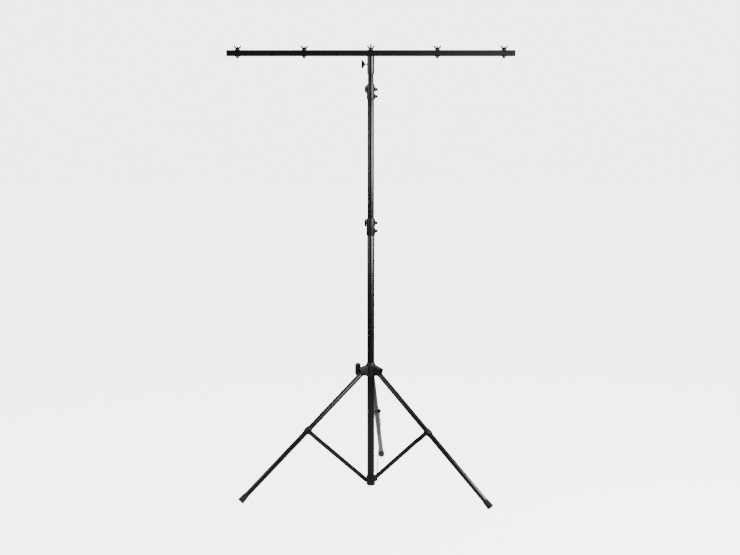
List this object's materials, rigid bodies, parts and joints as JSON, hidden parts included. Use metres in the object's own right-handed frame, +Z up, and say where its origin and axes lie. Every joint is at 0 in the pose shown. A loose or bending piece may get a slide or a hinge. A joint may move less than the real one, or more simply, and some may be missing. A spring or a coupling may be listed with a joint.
{
  "type": "lighting stand",
  "caption": "Telescopic lighting stand: a folding tripod, a clamped tube mast and a square T-bar that carries fixtures on upright bolts.",
  "frame": {"origin": "centre of the flat underside of the plug in the mast's foot, on the mast's axis", "axes": "+Z up the mast; +X along the T-bar, to the right in the picture; +Y away from the camera"},
  "size_m": [1.24, 0.978, 1.9439],
  "materials": {
    "powder_coated_steel": "satin black powder coat",
    "coated_castings": "satin black coat over a fine cast surface",
    "black_zinc_hardware": "black zinc",
    "black_plastic": "fine matt moulding",
    "rubber_feet": "matt rubber"
  },
  "bodies": {
    "mast_base": {"lower_mast_tube": "powder_coated_steel", "mast_base_plug": "black_plastic", "mast_base_collar": "coated_castings", "base_pivot_bolt_1": "black_zinc_hardware", "base_pivot_bolt_2": "black_zinc_hardware", "base_pivot_bolt_3": "black_zinc_hardware", "lower_clamp_collar": "coated_castings", "lower_clamp_insert": "black_plastic", "lower_clamp_knob_bolt": "black_zinc_hardware", "lower_clamp_fixing_bolt": "black_zinc_hardware"},
    "lower_clamp_knob": {"lower_clamp_knob": "black_plastic"},
    "middle_mast": {"middle_mast_tube": "powder_coated_steel", "middle_tube_plug": "black_plastic", "upper_clamp_collar": "coated_castings", "upper_clamp_insert": "black_plastic", "upper_clamp_knob_bolt": "black_zinc_hardware", "upper_clamp_fixing_bolt": "black_zinc_hardware"},
    "upper_clamp_knob": {"upper_clamp_knob": "black_plastic"},
    "top_mast": {"top_mast_tube": "powder_coated_steel", "top_tube_plug": "black_plastic"},
    "t_bar": {"t_bar_tube": "powder_coated_steel", "t_bar_socket": "powder_coated_steel", "t_bar_end_cap_left": "black_plastic", "t_bar_end_cap_right": "black_plastic", "t_bar_bolt_1": "black_zinc_hardware", "t_bar_bolt_2": "black_zinc_hardware", "t_bar_bolt_3": "black_zinc_hardware", "t_bar_bolt_4": "black_zinc_hardware", "t_bar_bolt_5": "black_zinc_hardware"},
    "t_bar_thumb_screw": {"t_bar_thumb_screw": "black_zinc_hardware"},
    "hub": {"hub_casting": "coated_castings", "hub_bush": "black_plastic", "hub_pivot_bolt_1": "black_zinc_hardware", "hub_pivot_bolt_2": "black_zinc_hardware", "hub_pivot_bolt_3": "black_zinc_hardware"},
    "hub_knob": {"hub_knob": "black_plastic"},
    "wing_nut_1": {"wing_nut_1": "black_zinc_hardware"},
    "wing_nut_2": {"wing_nut_2": "black_zinc_hardware"},
    "wing_nut_3": {"wing_nut_3": "black_zinc_hardware"},
    "wing_nut_4": {"wing_nut_4": "black_zinc_hardware"},
    "wing_nut_5": {"wing_nut_5": "black_zinc_hardware"},
    "leg_1": {"leg_tube_1": "powder_coated_steel", "leg_top_plug_1": "black_plastic", "leg_foot_1": "rubber_feet", "leg_clip_1": "black_plastic", "leg_clip_bolt_1": "black_zinc_hardware"},
    "brace_1": {"brace_1": "powder_coated_steel"},
    "leg_2": {"leg_tube_2": "powder_coated_steel", "leg_top_plug_2": "black_plastic", "leg_foot_2": "rubber_feet", "leg_clip_2": "black_plastic", "leg_clip_bolt_2": "black_zinc_hardware"},
    "brace_2": {"brace_2": "powder_coated_steel"},
    "leg_3": {"leg_tube_3": "powder_coated_steel", "leg_top_plug_3": "black_plastic", "leg_foot_3": "rubber_feet", "leg_clip_3": "black_plastic", "leg_clip_bolt_3": "black_zinc_hardware"},
    "brace_3": {"brace_3": "powder_coated_steel"}
  },
  "joints": [
    {"name": "tripod_fold", "type": "hinge", "parent": "mast_base", "child": "brace_1", "pos_m": [0.00139, 0.01594, 0.0229], "axis": [0.9962, -0.0872, 0], "range_deg": [0, 43.95]},
    {"name": "leg_1_hinge", "type": "hinge", "parent": "brace_1", "child": "leg_1", "pos_m": [0.02606, 0.29788, 0.27347], "axis": [-0.9962, 0.0872, 0], "range_deg": [0, 91.06]},
    {"name": "hub_hinge", "type": "hinge", "parent": "leg_1", "child": "hub", "pos_m": [0.00349, 0.03985, 0.50587], "axis": [0.9962, -0.0872, 0], "range_deg": [0, 47.11]},
    {"name": "leg_2_hinge", "type": "hinge", "parent": "hub", "child": "leg_2", "pos_m": [-0.03625, -0.0169, 0.50587], "axis": [0.4226, -0.9063, 0], "range_deg": [0, 47.11]},
    {"name": "brace_2_hinge", "type": "hinge", "parent": "mast_base", "child": "brace_2", "pos_m": [-0.0145, -0.00676, 0.0229], "axis": [-0.4226, 0.9063, 0], "range_deg": [0, 43.96]},
    {"name": "leg_3_hinge", "type": "hinge", "parent": "hub", "child": "leg_3", "pos_m": [0.03277, -0.02294, 0.50587], "axis": [0.5736, 0.8192, 0], "range_deg": [0, 47.11]},
    {"name": "brace_3_hinge", "type": "hinge", "parent": "mast_base", "child": "brace_3", "pos_m": [0.01311, -0.00918, 0.0229], "axis": [-0.5736, -0.8192, 0], "range_deg": [0, 43.96]},
    {"name": "middle_mast_slide", "type": "slide", "parent": "mast_base", "child": "middle_mast", "axis": [0, 0, 1], "range_m": [-0.5092, 0.32]},
    {"name": "top_mast_slide", "type": "slide", "parent": "middle_mast", "child": "top_mast", "axis": [0, 0, 1], "range_m": [-0.0426, 0.74]},
    {"name": "t_bar_turn", "type": "hinge", "parent": "top_mast", "child": "t_bar", "pos_m": [0, 0, 1.8777], "axis": [0, 0, 1], "continuous": true},
    {"name": "lower_clamp_knob_turn", "type": "hinge", "parent": "mast_base", "child": "lower_clamp_knob", "pos_m": [-0.0235, 0.024, 1.16], "axis": [-1, 0, 0], "range_deg": [0, 450]},
    {"name": "upper_clamp_knob_turn", "type": "hinge", "parent": "middle_mast", "child": "upper_clamp_knob", "pos_m": [-0.022, 0.0224, 1.737], "axis": [-1, 0, 0], "range_deg": [0, 450]},
    {"name": "hub_knob_turn", "type": "hinge", "parent": "hub", "child": "hub_knob", "pos_m": [-0.04915, 0.03442, 0.51237], "axis": [-0.8192, 0.5736, 0], "range_deg": [0, 450]},
    {"name": "t_bar_thumb_screw_turn", "type": "hinge", "parent": "t_bar", "child": "t_bar_thumb_screw", "pos_m": [-0.03, 0, 1.8435], "axis": [-1, 0, 0], "range_deg": [0, 450]},
    {"name": "wing_nut_1_turn", "type": "hinge", "parent": "t_bar", "child": "wing_nut_1", "pos_m": [-0.572, 0, 1.9034], "axis": [0, 0, 1], "continuous": true},
    {"name": "wing_nut_2_turn", "type": "hinge", "parent": "t_bar", "child": "wing_nut_2", "pos_m": [-0.286, 0, 1.9034], "axis": [0, 0, 1], "continuous": true},
    {"name": "wing_nut_3_turn", "type": "hinge", "parent": "t_bar", "child": "wing_nut_3", "pos_m": [0, 0, 1.9034], "axis": [0, 0, 1], "continuous": true},
    {"name": "wing_nut_4_turn", "type": "hinge", "parent": "t_bar", "child": "wing_nut_4", "pos_m": [0.286, 0, 1.9034], "axis": [0, 0, 1], "continuous": true},
    {"name": "wing_nut_5_turn", "type": "hinge", "parent": "t_bar", "child": "wing_nut_5", "pos_m": [0.572, 0, 1.9034], "axis": [0, 0, 1], "continuous": true}
  ],
  "couplings": [
    {"joint": "leg_1_hinge", "follows": "tripod_fold", "ratio": 2.0717},
    {"joint": "hub_hinge", "follows": "tripod_fold", "ratio": 1.0717},
    {"joint": "leg_2_hinge", "follows": "tripod_fold", "ratio": 1.0717},
    {"joint": "brace_2_hinge", "follows": "tripod_fold", "ratio": 1},
    {"joint": "leg_3_hinge", "follows": "tripod_fold", "ratio": 1.0717},
    {"joint": "brace_3_hinge", "follows": "tripod_fold", "ratio": 1}
  ]
}
